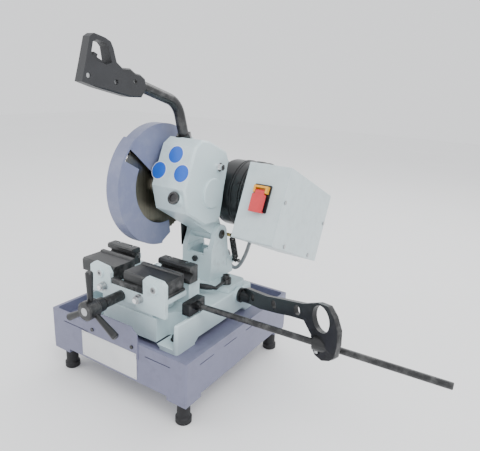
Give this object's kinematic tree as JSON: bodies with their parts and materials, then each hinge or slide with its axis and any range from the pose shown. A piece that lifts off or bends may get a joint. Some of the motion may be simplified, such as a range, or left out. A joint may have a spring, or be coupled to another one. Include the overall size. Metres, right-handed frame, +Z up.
{
  "type": "cold saw",
  "caption": "Bench cold saw: a circular blade on a tilting geared head over a screw vise, on a swivelling base in a drip tray, with an adjustable bar stop.",
  "frame": {"origin": "on the floor, under the middle of the front left rubber foot", "axes": "+X along the blade's axis to the operator's right, +Y away from the operator, +Z up"},
  "size_m": [0.783, 0.5297, 0.6929],
  "materials": {
    "tray_blue": "satin",
    "light_cast": "satin",
    "black_paint": "satin",
    "guard_blue": "satin",
    "box_grey": "satin",
    "steel": "brushed",
    "blade_steel": "satin",
    "chrome": "polished",
    "cast_iron": "rough",
    "rubber": "matte",
    "black_plastic": "matte",
    "red_plastic": "gloss",
    "yellow_plastic": "gloss",
    "grey_plastic": "matte",
    "brass": "satin"
  },
  "bodies": {
    "stand": {"drip_tray": "tray_blue", "corner_brackets": "tray_blue", "rubber_feet": "rubber", "stand_bolts": "steel", "splash_plate": "tray_blue", "base_casting": "light_cast", "angle_scale": "steel", "vise_bed": "light_cast", "rear_jaws": "cast_iron", "rear_jaw_screws": "steel", "stop_arm_pivot": "black_paint"},
    "turntable": {"turntable_column": "light_cast", "turntable_pins": "cast_iron", "return_spring": "steel", "column_guard_plate": "black_paint", "control_lead": "grey_plastic"},
    "swivel_lock": {"swivel_lever": "steel", "swivel_lever_grip": "black_plastic"},
    "head": {"gearbox_housing": "light_cast", "gearbox_cover": "light_cast", "gearbox_front_plug": "black_plastic", "oil_filler_plug": "chrome", "head_pins": "brass", "motor_housing": "black_paint", "motor_end_bell": "black_paint", "control_box": "box_grey", "control_box_cover": "box_grey", "head_screws": "steel", "switch_housing": "black_plastic", "switch_bridge": "yellow_plastic", "box_gland": "grey_plastic", "upper_guard": "guard_blue", "handle_tube": "black_paint", "handle_nut": "black_paint", "grip_shell_left": "black_plastic", "grip_shell_right": "black_plastic"},
    "blade": {"blade_shaft": "steel", "saw_blade": "blade_steel", "blade_flange": "steel"},
    "middle_shaft": {"middle_gears": "steel"},
    "idler": {"idler_gear": "steel"},
    "rotor": {"motor_rotor": "steel"},
    "guard": {"lower_guard": "guard_blue"},
    "trigger": {"trigger": "grey_plastic"},
    "start_button": {"start_button": "grey_plastic"},
    "stop_button": {"stop_button": "red_plastic"},
    "flap": {"stop_flap": "red_plastic"},
    "vise_slide": {"vise_slide_casting": "light_cast", "vise_top_block": "cast_iron", "front_jaws": "cast_iron", "vise_slide_screws": "steel", "guide_rods": "chrome"},
    "vise_wheel": {"vise_screw": "steel", "vise_wheel": "black_paint"},
    "stop_arm": {"stop_arm": "black_paint", "stop_clamp_screws": "steel"},
    "stop_rod": {"stop_rod": "black_paint", "stop_block": "black_paint"}
  },
  "joints": [
    {"name": "swivel", "type": "hinge", "parent": "stand", "child": "turntable", "pos_m": [0.13, 0.0955, 0.18], "axis": [0, 0, 1], "range_deg": [0, 15]},
    {"name": "swivel_lock_turn", "type": "hinge", "parent": "turntable", "child": "swivel_lock", "pos_m": [0.258, 0.2235, 0.2], "axis": [0, 0, 1], "range_deg": [-35, 0]},
    {"name": "head_tilt", "type": "hinge", "parent": "turntable", "child": "head", "pos_m": [0.16, 0.2455, 0.297], "axis": [1, 0, 0], "range_deg": [0, 38], "stiffness_Nm_per_rad": 20, "springref_deg": -57.3, "deforming": ["return_spring", "control_lead"]},
    {"name": "guard_turn", "type": "hinge", "parent": "head", "child": "guard", "pos_m": [0.122, 0.15236, 0.41383], "axis": [-1, 0, 0], "range_deg": [0, 120]},
    {"name": "blade_spin", "type": "hinge", "parent": "head", "child": "blade", "pos_m": [0.124, 0.15236, 0.41383], "axis": [1, 0, 0], "continuous": true},
    {"name": "middle_spin", "type": "hinge", "parent": "head", "child": "middle_shaft", "pos_m": [0.17, 0.19982, 0.39977], "axis": [1, 0, 0], "continuous": true},
    {"name": "idler_spin", "type": "hinge", "parent": "head", "child": "idler", "pos_m": [0.186, 0.28177, 0.4093], "axis": [1, 0, 0], "continuous": true},
    {"name": "rotor_spin", "type": "hinge", "parent": "head", "child": "rotor", "pos_m": [0.24, 0.31711, 0.38145], "axis": [1, 0, 0], "continuous": true},
    {"name": "trigger_press", "type": "slide", "parent": "head", "child": "trigger", "axis": [0, -0.3987, -0.9171], "range_m": [0, 0.003], "stiffness_N_per_m": 400, "springref_m": -0.002},
    {"name": "start_press", "type": "slide", "parent": "head", "child": "start_button", "axis": [0, 0.9171, -0.3987], "range_m": [0, 0.003], "stiffness_N_per_m": 400, "springref_m": -0.002},
    {"name": "stop_press", "type": "slide", "parent": "head", "child": "stop_button", "axis": [0, 0.9171, -0.3987], "range_m": [0, 0.003], "stiffness_N_per_m": 400, "springref_m": -0.002},
    {"name": "flap_open", "type": "hinge", "parent": "head", "child": "flap", "pos_m": [0.351, 0.19562, 0.42555], "axis": [-1, 0, 0], "range_deg": [0, 95]},
    {"name": "vise_travel", "type": "slide", "parent": "stand", "child": "vise_slide", "axis": [0, 1, 0], "range_m": [-0.055, 0.016]},
    {"name": "vise_screw_turn", "type": "hinge", "parent": "vise_slide", "child": "vise_wheel", "pos_m": [0.143, -0.0325, 0.207], "axis": [0, 1, 0], "range_deg": [-3970, 1160]},
    {"name": "stop_arm_lift", "type": "hinge", "parent": "stand", "child": "stop_arm", "pos_m": [0.308, 0.2355, 0.17], "axis": [-1, 0, 0], "range_deg": [0, 30]},
    {"name": "stop_rod_slide", "type": "slide", "parent": "stop_arm", "child": "stop_rod", "axis": [0.9991, 0.0419, 0], "range_m": [-0.015, 0.18]}
  ],
  "couplings": [
    {"joint": "guard_turn", "follows": "head_tilt", "ratio": 2.55},
    {"joint": "middle_spin", "follows": "blade_spin", "ratio": -5},
    {"joint": "idler_spin", "follows": "blade_spin", "ratio": 6},
    {"joint": "rotor_spin", "follows": "blade_spin", "ratio": -30},
    {"joint": "vise_screw_turn", "follows": "vise_travel", "rad_per_m": 1256.6}
  ]
}
